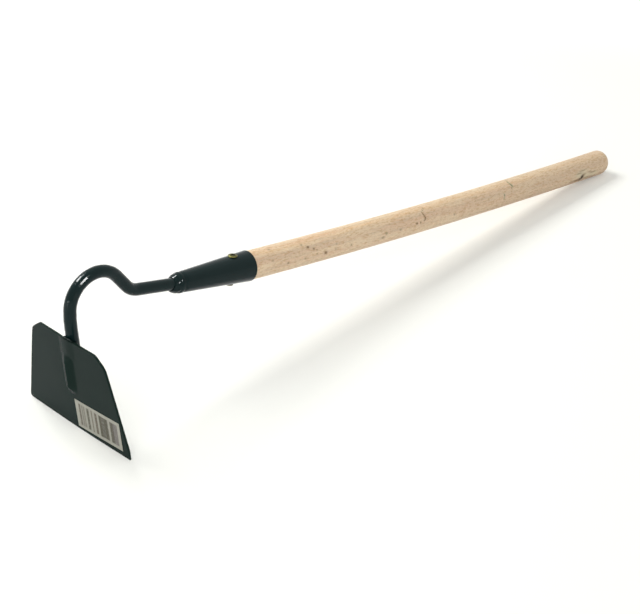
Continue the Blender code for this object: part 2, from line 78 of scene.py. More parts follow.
@dataclass(frozen=True)
class Thread:
    """Drawn-out noise: its bumps a metre, and the share of them that is left along the threads."""

    scale: float
    stretch: float


class Graph:
    """Lays nodes in a material or in a node group and links them."""

    def __init__(self, tree: bpy.types.NodeTree) -> None:
        """Starts on a node tree.

        Args:
            tree: The tree that gets the nodes.
        """
        self.tree = tree

    def feed(self, socket: Socket, value: Feed) -> None:
        """Links a socket to another one, or sets its number or colour.

        Args:
            socket: The input.
            value: The socket or the constant that it takes.
        """
        if isinstance(value, Socket):
            self.tree.links.new(value, socket)
        elif socket.type == "RGBA" and len(value) == 3:
            socket.default_value = (*value, 1.0)
        else:
            socket.default_value = value

    def node(self, kind: str, inputs: Inputs | None = None, **settings: object) -> bpy.types.Node:
        """Adds a node.

        Args:
            kind: Blender's name for the node type.
            inputs: What each of its inputs takes.
            settings: The node's own settings.

        Returns:
            The new node.
        """
        node = self.tree.nodes.new(kind)
        for name, value in settings.items():
            setattr(node, name, value)
        for name, value in (inputs or {}).items():
            self.feed(node.inputs[name], value)
        return node

    def maths(self, operation: str, first: Feed, second: Feed = 0.0, third: Feed = 0.0) -> Socket:
        """One sum on numbers.

        Args:
            operation: Blender's name for it.
            first: First number.
            second: Second number.
            third: Third number.

        Returns:
            The socket with the outcome.
        """
        inputs = {0: first, 1: second, 2: third}
        return self.node("ShaderNodeMath", inputs, operation=operation).outputs[0]

    def vector(self, operation: str, first: Feed, second: Feed = (0.0, 0.0, 0.0)) -> bpy.types.Node:
        """One sum on vectors.

        Args:
            operation: Blender's name for it.
            first: First vector.
            second: Second vector.

        Returns:
            The node, whose output depends on the operation.
        """
        return self.node("ShaderNodeVectorMath", {0: first, 1: second}, operation=operation)

    def rise(self, value: Feed, step: Step) -> Socket:
        """Turns a number into a smooth step from one level to another.

        Args:
            value: The number.
            step: The step.

        Returns:
            The socket with the level.
        """
        inputs = {
            "Value": value,
            "From Min": step.low,
            "From Max": step.high,
            "To Min": step.before,
            "To Max": step.after,
        }
        return self.node("ShaderNodeMapRange", inputs, interpolation_type="SMOOTHSTEP").outputs["Result"]

    def noise(self, vector: Feed, scale: Feed, detail: float = 3.0, roughness: float = 0.55) -> Socket:
        """Soft noise around one half.

        Args:
            vector: Where it is looked up.
            scale: Its fineness, in bumps a metre.
            detail: Number of finer layers.
            roughness: Strength of the finer layers.

        Returns:
            The socket with the noise.
        """
        inputs = {"Vector": vector, "Scale": scale, "Detail": detail, "Roughness": roughness}
        return self.node("ShaderNodeTexNoise", inputs).outputs["Fac"]

    def blend(self, share: Feed, first: Feed, second: Feed, way: str = "MIX") -> Socket:
        """Mixes two colours.

        Args:
            share: How much of the second one shows.
            first: First colour.
            second: Second colour.
            way: Blender's name for the way to mix.

        Returns:
            The socket with the mixed colour.
        """
        node = self.node("ShaderNodeMix", data_type="RGBA", blend_type=way)
        for name, value in (("Factor_Float", share), ("A_Color", first), ("B_Color", second)):
            self.feed(next(s for s in node.inputs if s.identifier == name), value)
        return next(s for s in node.outputs if s.identifier == "Result_Color")

    def bump(self, height: Feed, distance: float, strength: float = 1.0) -> Socket:
        """Turns a height into a bumped normal.

        Args:
            height: The height, from 0 to 1.
            distance: What height 1 stands for.
            strength: Share of the effect.

        Returns:
            The socket with the normal.
        """
        inputs = {"Height": height, "Distance": distance, "Strength": strength}
        return self.node("ShaderNodeBump", inputs).outputs["Normal"]

    def effect(self, which: "Effect", **values: Feed) -> bpy.types.Node:
        """Places a shared effect.

        Args:
            which: The effect.
            values: What its inputs take, with spaces in their names written as underscores.

        Returns:
            The group node.
        """
        inputs = {name.replace("_", " "): value for name, value in values.items()}
        node = self.node("ShaderNodeGroup", node_tree=EFFECTS.tree(which))
        for name, value in inputs.items():
            self.feed(node.inputs[name], value)
        return node

    def threads(self, vector: Feed, thread: Thread) -> Socket:
        """Noise that is drawn out along the vector's first axis.

        Args:
            vector: Where it is looked up.
            thread: Its fineness.

        Returns:
            The socket with the noise.
        """
        drawn = self.effect(Effect.FIBRE, Vector=vector, Scale=thread.scale, Stretch=thread.stretch)
        return drawn.outputs["Thread"]

    def looked_at(self, path: bpy.types.Node) -> Socket:
        """One where the camera looks, a reflection or glass too, and zero for the rays that light.

        Args:
            path: The graph's Light Path node.

        Returns:
            The socket with the one or zero.
        """
        seen = self.maths("MAXIMUM", path.outputs["Is Camera Ray"], path.outputs["Is Glossy Ray"])
        return self.maths("MAXIMUM", seen, path.outputs["Is Transmission Ray"])


# Effects that several finishes share


class Effect(Enum):
    """The node groups, by the name that Blender's outliner shows."""

    PAINT_SKIN = "paint_skin"
    EDGE_WEAR = "edge_wear"
    FIBRE = "fibre"
    SPOT = "spot"
    BAND = "band"


class EffectShelf:
    """Makes each shared effect once and keeps it."""

    NIB_DOME = Step(0.0, 0.22, before=1.0, after=0.0)
    CLOUD_SCALE = 22.0
    RIM = Step(0.62, 0.72)
    RUBBED = Step(0.46, 0.60)
    SPOT_CORE = Step(0.45, 1.15, before=0.78, after=0.0)
    SPOT_HALO = Step(0.60, 2.20, before=0.22, after=0.0)
    PRINT_EDGE = Step(-1.0, 1.0)

    def __init__(self) -> None:
        """Starts with nothing made."""
        self.made: dict[Effect, bpy.types.NodeTree] = {}

    def tree(self, which: Effect) -> bpy.types.NodeTree:
        """Gives the node group of an effect.

        Args:
            which: The effect.

        Returns:
            Its node group, made at the first call.
        """
        if which not in self.made:
            makers: dict[Effect, Callable[[], bpy.types.NodeTree]] = {
                Effect.PAINT_SKIN: self._paint_skin,
                Effect.EDGE_WEAR: self._edge_wear,
                Effect.FIBRE: self._fibre,
                Effect.SPOT: self._spot,
                Effect.BAND: self._band,
            }
            self.made[which] = makers[which]()
        return self.made[which]

    @staticmethod
    def _start(which: Effect, inputs: dict[str, Feed], outputs: tuple[str, ...]) -> tuple[Graph, dict, dict]:
        """Opens a node group with named sockets.

        Args:
            which: The effect, which names the group.
            inputs: Each input with its usual value.
            outputs: The outputs, which are all plain numbers.

        Returns:
            The graph, the inputs as sockets to read, and the outputs as sockets to fill.
        """
        tree = bpy.data.node_groups.new(which.value, "ShaderNodeTree")
        for label, value in inputs.items():
            kind = "NodeSocketVector" if isinstance(value, tuple) else "NodeSocketFloat"
            socket = tree.interface.new_socket(label, in_out="INPUT", socket_type=kind)
            socket.default_value = value
        for label in outputs:
            tree.interface.new_socket(label, in_out="OUTPUT", socket_type="NodeSocketFloat")
        graph = Graph(tree)
        start = graph.node("NodeGroupInput")
        end = graph.node("NodeGroupOutput")
        return (
            graph,
            {label: start.outputs[label] for label in inputs},
            {label: end.inputs[label] for label in outputs},
        )

    def _paint_skin(self) -> bpy.types.NodeTree:
        """Orange peel, small nibs of dust under the paint, and slow changes of its thickness.

        Returns:
            The node group.
        """
        graph, given, put = self._start(
            Effect.PAINT_SKIN,
            {"Vector": (0.0, 0.0, 0.0), "Peel Scale": 700.0, "Nib Scale": 260.0, "Nib Share": 0.04},
            ("Height", "Cloud"),
        )
        peel = graph.noise(given["Vector"], given["Peel Scale"], detail=1.5, roughness=0.4)
        cells = graph.node("ShaderNodeTexVoronoi", {"Vector": given["Vector"], "Scale": given["Nib Scale"]})
        chance = graph.node("ShaderNodeSeparateColor", {0: cells.outputs["Color"]}).outputs[0]
        picked = graph.maths("LESS_THAN", chance, given["Nib Share"])
        dome = graph.rise(cells.outputs["Distance"], self.NIB_DOME)
        nibs = graph.maths("MULTIPLY", picked, dome)
        graph.feed(put["Height"], graph.maths("ADD", peel, nibs))
        cloud = graph.noise(given["Vector"], self.CLOUD_SCALE, roughness=0.6)
        graph.feed(put["Cloud"], cloud)
        return graph.tree

    def _edge_wear(self) -> bpy.types.NodeTree:
        """A mask on rims and corners, broken up as handling rubs them.

        Returns:
            The node group.
        """
        graph, given, put = self._start(
            Effect.EDGE_WEAR,
            {"Vector": (0.0, 0.0, 0.0), "Amount": 0.5, "Break Scale": 160.0},
            ("Mask",),
        )
        point = graph.node("ShaderNodeNewGeometry").outputs["Pointiness"]
        rim = graph.rise(point, self.RIM)
        breaks = graph.noise(given["Vector"], given["Break Scale"], detail=4.0, roughness=0.65)
        rubbed = graph.maths("MULTIPLY", rim, graph.rise(breaks, self.RUBBED))
        graph.feed(put["Mask"], graph.maths("MULTIPLY", rubbed, given["Amount"]))
        return graph.tree

    def _fibre(self) -> bpy.types.NodeTree:
        """Threads drawn out along the first axis, for wood, paper and scratches.

        Returns:
            The node group.
        """
        graph, given, put = self._start(
            Effect.FIBRE,
            {"Vector": (0.0, 0.0, 0.0), "Scale": 900.0, "Stretch": 0.03},
            ("Thread",),
        )
        pulled = graph.node("ShaderNodeCombineXYZ", {0: given["Stretch"], 1: 1.0, 2: 1.0}).outputs[0]
        at = graph.vector("MULTIPLY", given["Vector"], pulled).outputs[0]
        graph.feed(put["Thread"], graph.noise(at, given["Scale"], roughness=0.6))
        return graph.tree

    def _spot(self) -> bpy.types.NodeTree:
        """A ragged dark core with a faint halo at one place, for pin knots and stains.

        Returns:
            The node group.
        """
        graph, given, put = self._start(
            Effect.SPOT,
            {
                "Vector": (0.0, 0.0, 0.0),
                "Centre": (0.0, 0.0, 0.0),
                "Radii": (0.002, 0.002, 0.002),
                "Rag": 0.0,
            },
            ("Mask",),
        )
        away = graph.vector("SUBTRACT", given["Vector"], given["Centre"]).outputs[0]
        scaled = graph.vector("DIVIDE", away, given["Radii"]).outputs[0]
        far = graph.maths("ADD", graph.vector("LENGTH", scaled).outputs["Value"], given["Rag"])
        core = graph.rise(far, self.SPOT_CORE)
        halo = graph.rise(far, self.SPOT_HALO)
        graph.feed(put["Mask"], graph.maths("ADD", core, halo))
        return graph.tree

    def _band(self) -> bpy.types.NodeTree:
        """A printed bar across the paper, between two places along it and two across it.

        Returns:
            The node group.
        """
        graph, given, put = self._start(
            Effect.BAND,
            {
                "Along": 0.0,
                "Across": 0.0,
                "Middle": 0.0,
                "Half Width": 0.001,
                "Half Length": 0.01,
                "Soft": 0.0004,
            },
            ("Mask",),
        )
        off_middle = graph.maths("SUBTRACT", given["Along"], given["Middle"])
        masks = []
        for place, half in ((off_middle, given["Half Width"]), (given["Across"], given["Half Length"])):
            inside = graph.maths("SUBTRACT", half, graph.maths("ABSOLUTE", place))
            masks.append(graph.maths("DIVIDE", inside, given["Soft"]))
        low = graph.maths("MINIMUM", masks[0], masks[1])
        graph.feed(put["Mask"], graph.rise(low, self.PRINT_EDGE))
        return graph.tree


EFFECTS = EffectShelf()


# Finishes


def new_material(name: str) -> tuple[bpy.types.Material, Graph, bpy.types.Node, Socket]:
    """Opens a material with its shader and the place on the object as a vector.

    Args:
        name: The material's name.

    Returns:
        The material, its graph, its shader, and the socket that gives the place on the object.
    """
    material = bpy.data.materials.new(name)
    material.use_nodes = True
    graph = Graph(material.node_tree)
    shader = material.node_tree.nodes["Principled BSDF"]
    place = graph.node("ShaderNodeTexCoord").outputs["Object"]
    return material, graph, shader, place


@dataclass(frozen=True)
class PaintFinish:
    """Sprayed and baked paint on steel, which shows where handling wears the paint off."""

    name: str
    colour: Colour
    thin_colour: Colour
    roughness: float
    specular: float
    peel_scale: float
    peel_depth: float
    wear: float
    thins: Step = Step(0.3, 0.7)
    roughness_spread: float = 0.016
    bare_steel: Colour = (0.10, 0.10, 0.095)
    bare_roughness: float = 0.25

    def material(self) -> bpy.types.Material:
        """Makes the paint.

        Returns:
            The material.
        """
        material, graph, shader, place = new_material(self.name)
        skin = graph.effect(Effect.PAINT_SKIN, Vector=place, Peel_Scale=self.peel_scale)
        wear = graph.effect(Effect.EDGE_WEAR, Vector=place, Amount=self.wear).outputs["Mask"]
        cloud = graph.rise(skin.outputs["Cloud"], self.thins)
        paint = graph.blend(cloud, self.colour, self.thin_colour)
        graph.feed(shader.inputs["Base Color"], graph.blend(wear, paint, self.bare_steel))
        smoothest = self.roughness - self.roughness_spread / 2
        rough = graph.maths("MULTIPLY_ADD", cloud, self.roughness_spread, smoothest)
        rough = graph.maths("MULTIPLY_ADD", wear, self.bare_roughness, rough)
        graph.feed(shader.inputs["Roughness"], rough)
        graph.feed(shader.inputs["Normal"], graph.bump(skin.outputs["Height"], self.peel_depth))
        shader.inputs["Specular IOR Level"].default_value = self.specular
        return material


class Stain(Enum):
    """What a flaw in the wood is coloured with."""

    BROWN = (0.240, 0.140, 0.066)
    GREEN = (0.200, 0.235, 0.125)
    BARK = (0.075, 0.050, 0.026)
    PALE = (0.700, 0.620, 0.430)


@dataclass(frozen=True)
class WoodFlaw:
    """A pin knot, a stain or a stroke of dark wood on the handle.

    It lies at a place along the hoe, in metres, and at a turn from the handle's -Y side over its top, in
    degrees. Its length and width are half sizes in metres.
    """

    along: float
    turn: float
    length: float
    width: float
    share: float = 0.6
    stain: Stain = Stain.BROWN


@dataclass(frozen=True)
class GrainMark:
    """One kind of fine mark in the grain: its threads, where they show, and how they tint the wood."""

    thread: Thread
    shows: Step
    tint: Colour


@dataclass(frozen=True)
class WoodFinish:
    """Sanded pale hardwood whose grain follows the bow of the handle.

    The axis gives the height of the handle's centre line: its level, slope and bow along the hoe. The gold's
    turn and edge are angles round the handle, in radians.
    """

    name: str
    radius: float
    axis: tuple[float, float, float]
    flaws: tuple[WoodFlaw, ...]
    pale: Colour = (0.815, 0.645, 0.442)
    warm: Colour = (0.757, 0.556, 0.379)
    drift: Thread = Thread(95.0, 0.09)
    drift_shows: Step = Step(0.38, 0.62)
    grey: Colour = (0.657, 0.513, 0.356)
    streak: Thread = Thread(310.0, 0.05)
    streak_shows: Step = Step(0.44, 0.64, after=0.55)
    # Painted shade: the wood is made greyer and darker towards the butt, where the light falls off
    butt_painted_shade: Step = Step(-0.05, 0.40, after=0.50)
    gold: Colour = (0.740, 0.510, 0.285)
    gold_turn: float = 1.22
    gold_wander: float = 0.9
    gold_wander_scale: float = 26.0
    gold_edge: Step = Step(0.06, 0.36, before=1.0, after=0.0)
    gold_breaks: Thread = Thread(420.0, 0.04)
    gold_shows: Step = Step(0.36, 0.60, before=0.06, after=0.62)
    marks: tuple[GrainMark, ...] = (
        GrainMark(Thread(620.0, 0.30), Step(0.51, 0.62, after=0.95), (0.86, 0.79, 0.70)),
        GrainMark(Thread(760.0, 0.50), Step(0.55, 0.66, after=0.90), (1.12, 1.13, 1.12)),
        GrainMark(Thread(1500.0, 0.16), Step(0.56, 0.68, after=0.60), (0.82, 0.74, 0.64)),
        GrainMark(Thread(240.0, 0.45), Step(0.52, 0.66, after=0.75), (0.93, 0.85, 0.78)),
    )
    rag: float = 1.4
    rag_scale: float = 1100.0
    pores: Thread = Thread(2600.0, 0.02)
    pore_roughness: Step = Step(0.3, 0.7, before=0.52, after=0.64)
    pore_depth: float = 0.00005
    pore_strength: float = 0.6
    specular: float = 0.2

    def flaw_place(self, flaw: WoodFlaw) -> Place:
        """Where a flaw sits, in the coordinates that run along the centre line.

        Args:
            flaw: The flaw.

        Returns:
            Its place along, across and above the centre line.
        """
        turn = math.radians(flaw.turn)
        return (flaw.along, -self.radius * math.cos(turn), self.radius * math.sin(turn))

    def straightened(self, graph: Graph, place: Socket) -> Socket:
        """Takes the bow out of the coordinates, so that the grain follows it.

        Args:
            graph: The material's graph.
            place: The place on the object.

        Returns:
            The place along, across and above the centre line.
        """
        level, slope, bow = self.axis
        parts = graph.node("ShaderNodeSeparateXYZ", {0: place})
        along, across, up = parts.outputs
        curve = graph.maths("MULTIPLY_ADD", graph.maths("MULTIPLY_ADD", along, bow, slope), along, level)
        above = graph.maths("SUBTRACT", up, curve)
        return graph.node("ShaderNodeCombineXYZ", {0: along, 1: across, 2: above}).outputs[0]

    def material(self) -> bpy.types.Material:
        """Makes the wood.

        Returns:
            The material.
        """
        material, graph, shader, place = new_material(self.name)
        at = self.straightened(graph, place)
        along, across, above = graph.node("ShaderNodeSeparateXYZ", {0: at}).outputs
        turn = graph.maths("ARCTAN2", above, graph.maths("MULTIPLY", across, -1.0))

        drift = graph.threads(at, self.drift)
        colour = graph.blend(graph.rise(drift, self.drift_shows), self.pale, self.warm)
        streak = graph.threads(at, self.streak)
        colour = graph.blend(graph.rise(streak, self.streak_shows), colour, self.grey)
        colour = graph.blend(self.gold_share(graph, at, along, turn), colour, self.gold)
        # Painted shade: greyer and darker towards the butt
        colour = graph.blend(graph.rise(along, self.butt_painted_shade), colour, self.grey)

        for mark in self.marks:
            threads = graph.threads(at, mark.thread)
            tinted = graph.blend(1.0, colour, mark.tint, "MULTIPLY")
            colour = graph.blend(graph.rise(threads, mark.shows), colour, tinted)

        frayed = graph.noise(at, self.rag_scale, detail=2.0, roughness=0.6)
        rag = graph.maths("MULTIPLY_ADD", frayed, self.rag, -self.rag / 2)
        for flaw in self.flaws:
            spot = graph.effect(
                Effect.SPOT,
                Vector=at,
                Centre=self.flaw_place(flaw),
                Radii=(flaw.length, flaw.width, flaw.width),
                Rag=rag,
            ).outputs["Mask"]
            colour = graph.blend(graph.maths("MULTIPLY", spot, flaw.share), colour, flaw.stain.value)

        graph.feed(shader.inputs["Base Color"], colour)
        pores = graph.threads(at, self.pores)
        graph.feed(shader.inputs["Roughness"], graph.rise(pores, self.pore_roughness))
        graph.feed(shader.inputs["Normal"], graph.bump(pores, self.pore_depth, self.pore_strength))
        shader.inputs["Specular IOR Level"].default_value = self.specular
        return material

    def gold_share(self, graph: Graph, at: Socket, along: Socket, turn: Socket) -> Socket:
        """How much shows of the golden band that runs along the top of the handle.

        Args:
            graph: The material's graph.
            at: The place along, across and above the centre line.
            along: The place along the handle.
            turn: The angle round it, from its -Y side over its top.

        Returns:
            The socket with the share.
        """
        line = graph.node("ShaderNodeCombineXYZ", {0: along}).outputs[0]
        wander = graph.noise(line, self.gold_wander_scale, detail=2.0, roughness=0.5)
        lowest = self.gold_turn - self.gold_wander / 2
        middle = graph.maths("MULTIPLY_ADD", wander, self.gold_wander, lowest)
        off = graph.maths("ABSOLUTE", graph.maths("SUBTRACT", turn, middle))
        band = graph.rise(off, self.gold_edge)
        broken = graph.threads(at, self.gold_breaks)
        return graph.maths("MULTIPLY", band, graph.rise(broken, self.gold_shows))


@dataclass(frozen=True)
class PlatedFinish:
    """Yellow zinc plating, with fine turning marks, a duller tint in places, and painted shade in its recesses:
    dark and not metallic there.
    """

    name: str
    colour: Colour
    tint: Colour
    roughness: float
    recesses: tuple[tuple[Place, float], ...]
    recess_shade: Colour = (0.024, 0.022, 0.004)
    recess_shade_rag: float = 0.25
    cloud_scale: float = 600.0
    clouds: Step = Step(0.35, 0.65)
    rubbed: Colour = (0.30, 0.30, 0.24)
    rubbed_share: float = 0.6
    rubbed_scale: float = 900.0
    roughness_spread: float = 0.10
    turning: Thread = Thread(4200.0, 0.08)
    turning_depth: float = 0.00002
    specular: float = 0.12

    def material(self) -> bpy.types.Material:
        """Makes the plating.

        Returns:
            The material.
        """
        material, graph, shader, place = new_material(self.name)
        cloud = graph.rise(graph.noise(place, self.cloud_scale, roughness=0.6), self.clouds)
        wear = graph.effect(
            Effect.EDGE_WEAR, Vector=place, Amount=self.rubbed_share, Break_Scale=self.rubbed_scale
        ).outputs["Mask"]
        colour = graph.blend(wear, graph.blend(cloud, self.colour, self.tint), self.rubbed)
        ragged = graph.maths("MULTIPLY", cloud, self.recess_shade_rag)
        recess_shade_cover: Feed = 0.0
        # Painted shade and dark reflection: round each screw head's recess the plating is darkened and made
        # non-metallic
        for centre, reach in self.recesses:
            recess_shade_mask = graph.effect(
                Effect.SPOT, Vector=place, Centre=centre, Radii=(reach, reach, reach), Rag=ragged
            ).outputs["Mask"]
            colour = graph.blend(recess_shade_mask, colour, self.recess_shade)
            recess_shade_cover = graph.maths("MAXIMUM", recess_shade_cover, recess_shade_mask)
        graph.feed(shader.inputs["Base Color"], colour)
        rough = graph.maths("MULTIPLY_ADD", cloud, self.roughness_spread, self.roughness)
        graph.feed(shader.inputs["Roughness"], rough)
        turned = graph.threads(place, self.turning)
        graph.feed(shader.inputs["Normal"], graph.bump(turned, self.turning_depth))
        graph.feed(shader.inputs["Metallic"], graph.maths("SUBTRACT", 1.0, recess_shade_cover))
        shader.inputs["Specular IOR Level"].default_value = self.specular
        return material


@dataclass(frozen=True)
class PrintedBar:
    """One plain bar of print across the label: its middle along it, sizes, ink and the ink's cover."""

    middle: float
    width: float
    length: float
    colour: Colour
    strength: float


@dataclass(frozen=True)
class PaperFinish:
    """Paper label with plain bars printed across it, turned on the leaning blade."""

    name: str
    centre: Place
    turn: float
    lean: float
    paper: Colour
    bars: tuple[PrintedBar, ...]
    mottle: Step = Step(0.3, 0.7)
    mottle_scale: float = 120.0
    mottle_shade: float = 0.88
    ink_loss: Step = Step(0.34, 0.56, before=0.70)
    ink_loss_scale: float = 420.0
    pulp: Thread = Thread(2200.0, 0.4)
    pulp_roughness: Step = Step(0.3, 0.7, before=0.52, after=0.64)
    pulp_depth: float = 0.00003
    specular: float = 0.3

    def material(self) -> bpy.types.Material:
        """Makes the paper and its print.

        Returns:
            The material.
        """
        material, graph, shader, place = new_material(self.name)
        level = graph.vector("SUBTRACT", place, self.centre).outputs[0]
        leaning = math.radians(self.lean)
        up_axis = (-math.sin(leaning), 0.0, math.cos(leaning))
        up = graph.vector("DOT_PRODUCT", level, up_axis).outputs["Value"]
        side = graph.vector("DOT_PRODUCT", level, (0.0, -1.0, 0.0)).outputs["Value"]
        cosine, sine = math.cos(math.radians(self.turn)), math.sin(math.radians(self.turn))
        along = graph.maths("MULTIPLY_ADD", side, cosine, graph.maths("MULTIPLY", up, sine))
        across = graph.maths("MULTIPLY_ADD", up, cosine, graph.maths("MULTIPLY", side, -sine))
        flat = graph.node("ShaderNodeCombineXYZ", {0: across, 1: along, 2: 0.0}).outputs[0]

        cloud = graph.noise(flat, self.mottle_scale, roughness=0.6)
        shaded = tuple(self.mottle_shade * part for part in self.paper)
        colour = graph.blend(graph.rise(cloud, self.mottle), self.paper, shaded)
        patches = graph.noise(flat, self.ink_loss_scale, detail=2.0, roughness=0.5)
        inked = graph.rise(patches, self.ink_loss)
        for bar in self.bars:
            mask = graph.effect(
                Effect.BAND,
                Along=along,
                Across=across,
                Middle=bar.middle,
                Half_Width=bar.width / 2,
                Half_Length=bar.length / 2,
            ).outputs["Mask"]
            ink = graph.maths("MULTIPLY", graph.maths("MULTIPLY", mask, inked), bar.strength)
            colour = graph.blend(ink, colour, bar.colour)
        graph.feed(shader.inputs["Base Color"], colour)
        pulp = graph.threads(flat, self.pulp)
        graph.feed(shader.inputs["Roughness"], graph.rise(pulp, self.pulp_roughness))
        graph.feed(shader.inputs["Normal"], graph.bump(pulp, self.pulp_depth))
        shader.inputs["Specular IOR Level"].default_value = self.specular
        return material


# Pieces


def dress(node: str, material: bpy.types.Material) -> bpy.types.Object:
    """Gives a CAD node its material.

    Args:
        node: The node's name.
        material: The material.

    Returns:
        The node's object.
    """
    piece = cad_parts[node]
    piece.data.materials.clear()
    piece.data.materials.append(material)
    for polygon in piece.data.polygons:
        polygon.material_index = 0
    LOG.info("dressed %s with %s", node, material.name)
    return piece


def stand_in(piece: bpy.types.Object, node: str, material: bpy.types.Material) -> bpy.types.Object:
    """Puts a finer piece in the place of a CAD node.

    Args:
        piece: The finer piece.
        node: The node that it stands for.
        material: Its material.

    Returns:
        The piece.
    """
    piece.data.materials.clear()
    piece.data.materials.append(material)
    piece.data.shade_smooth()
    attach(piece, BODY)
    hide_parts(node)
    LOG.info("%s stands for %s: %d faces", piece.name, node, len(piece.data.polygons))
    return piece


def copy_of(node: str, name: str) -> bpy.types.Object:
    """Copies a CAD node's mesh into a new piece, with its doubled points joined.

    Args:
        node: The node.
        name: The new piece's name.

    Returns:
        The piece.
    """
    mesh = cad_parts[node].data.copy()
    mesh.name = name
    work = bmesh.new()
    work.from_mesh(mesh)
    bmesh.ops.remove_doubles(work, verts=work.verts, dist=JOINED_WITHIN)
    work.to_mesh(mesh)
    work.free()
    piece = bpy.data.objects.new(name, mesh)
    bpy.context.scene.collection.objects.link(piece)
    return piece


def settle(piece: bpy.types.Object) -> None:
    """Applies the piece's modifiers.

    Args:
        piece: The piece.
    """
    bpy.context.view_layer.update()
    evaluated = piece.evaluated_get(bpy.context.evaluated_depsgraph_get())
    mesh = bpy.data.meshes.new_from_object(evaluated)
    piece.modifiers.clear()
    old = piece.data
    piece.data = mesh
    mesh.name = piece.name
    bpy.data.meshes.remove(old)


@dataclass
class WeldBead:
    """A weld bead with the ripples of the melt, in the place of a plain CAD bead.

    Each ripple rises slowly along the bead and falls off steeply at its end.
    """

    node: str
    name: str
    path_place: Callable[[Vector], float]
    pitch: float
    ripple: float = 0.00016
    voxel: float = 0.00032
    relax_factor: float = 0.6
    relax_rounds: int = 4
    rise_power: float = 0.6
    fall_power: int = 6
    middle_level: float = 0.6
    wobble_scale: float = 420.0
    wobble_share: float = 0.5

    def build(self, material: bpy.types.Material) -> bpy.types.Object:
        """Builds the bead.

        Args:
            material: The paint over it.

        Returns:
            The piece.
        """
        bead = copy_of(self.node, self.name)
        remesh = bead.modifiers.new("Even faces", "REMESH")
        remesh.mode = "VOXEL"
        remesh.voxel_size = self.voxel
        relax = bead.modifiers.new("Melted", "SMOOTH")
        relax.factor = self.relax_factor
        relax.iterations = self.relax_rounds
        settle(bead)
        normals = [vertex.normal.copy() for vertex in bead.data.vertices]
        for vertex, normal in zip(bead.data.vertices, normals):
            ripples = self.path_place(vertex.co) / self.pitch
            phase = ripples - math.floor(ripples)
            crest = phase**self.rise_power * (1.0 - phase**self.fall_power) - self.middle_level
            wobble = noise.noise(vertex.co * self.wobble_scale)
            vertex.co += normal * (self.ripple * crest + self.wobble_share * self.ripple * wobble)
        bead.data.update()
        return stand_in(bead, self.node, material)


@dataclass
class BladeHead:
    """The pressed plate, the weld beads that hold the bar to it, and its label.

    The plate leans from its foot, and the label's place is across and up the plate from there.
    """

    lean: float = 3.44
    foot: Place = (-0.4120, 0.0, 0.00014)
    bar_end_height: float = 0.0905
    bar_end_radius: float = 0.0065
    label_across: float = -0.0354
    label_up: float = 0.0206
    label_turn: float = 2.1
    label_paper: Colour = (0.445, 0.440, 0.365)
    paint: PaintFinish = PaintFinish(
        name="blade_satin_paint",
        colour=(0.0090, 0.0205, 0.0165),
        thin_colour=(0.0100, 0.0220, 0.0175),
        roughness=0.25,
        specular=0.042,
        peel_scale=900.0,
        peel_depth=0.000004,
        wear=0.08,
    )
    # Painted shade: the weld beads sit in the corners between plate and bar, so their paint is made darker than
    # the blade's
    weld_shaded_paint: PaintFinish = PaintFinish(
        name="weld_bead_paint_painted_shade",
        colour=(0.0040, 0.0110, 0.0090),
        thin_colour=(0.0060, 0.0130, 0.0110),
        roughness=0.24,
        specular=0.022,
        peel_scale=900.0,
        peel_depth=0.000020,
        wear=0.1,
    )

    def label_finish(self) -> PaperFinish:
        """The label's paper and print.

        Returns:
            The finish.
        """
        lean = math.radians(self.lean)
        centre = (
            self.foot[0] - self.label_up * math.sin(lean),
            self.foot[1] + self.label_across,
            self.foot[2] + self.label_up * math.cos(lean),
        )
        wash, grey, moss = (0.33, 0.32, 0.26), (0.23, 0.22, 0.175), (0.080, 0.075, 0.050)
        olive, brown, plum = (0.085, 0.080, 0.050), (0.115, 0.090, 0.060), (0.150, 0.130, 0.125)
        bars = (
            PrintedBar(0.0003, 0.0600, 0.0262, wash, 0.45),
            PrintedBar(-0.0273, 0.0028, 0.0250, brown, 0.90),
            PrintedBar(-0.0220, 0.0056, 0.0245, grey, 0.60),
            PrintedBar(-0.0236, 0.0008, 0.0240, olive, 0.60),
            PrintedBar(-0.0206, 0.0008, 0.0240, brown, 0.60),
            PrintedBar(-0.0147, 0.0036, 0.0245, olive, 0.92),
            PrintedBar(-0.0087, 0.0018, 0.0250, brown, 0.80),
            PrintedBar(-0.0025, 0.0034, 0.0240, brown, 0.95),
            PrintedBar(0.0089, 0.0134, 0.0240, moss, 0.90),
            PrintedBar(0.0042, 0.0032, 0.0245, olive, 0.95),
            PrintedBar(0.0126, 0.0036, 0.0235, olive, 0.90),
            PrintedBar(0.0244, 0.0106, 0.0240, plum, 0.85),
            PrintedBar(0.0213, 0.0050, 0.0235, olive, 0.90),
        )
        return PaperFinish(
            name="label_paper_printed",
            centre=centre,
            turn=self.label_turn,
            lean=self.lean,
            paper=self.label_paper,
            bars=bars,
        )

    def build(self) -> list[bpy.types.Object]:
        """Builds and dresses the blade's pieces.

        Returns:
            The pieces.
        """
        welded = self.weld_shaded_paint.material()
        pieces = [
            dress("blade", self.paint.material()),
            dress("price_label", self.label_finish().material()),
        ]
        top = WeldBead("blade_weld_top", "top_edge_weld", lambda point: point.y, pitch=0.0021)
        pieces.append(top.build(welded))
        back = WeldBead("blade_weld_back", "back_weld", self.around_bar, pitch=0.0026)
        pieces.append(back.build(welded))
        return pieces

    def around_bar(self, point: Vector) -> float:
        """How far along the back bead a point lies: down one side, round the bar's end, and up the other.

        Args:
            point: A point of the bead.

        Returns:
            The distance along the bead.
        """
        height, radius = self.bar_end_height, self.bar_end_radius
        if point.z > height:
            return math.copysign(point.z - height + radius * math.pi / 2, point.y)
        return radius * math.atan2(point.y, height - point.z)


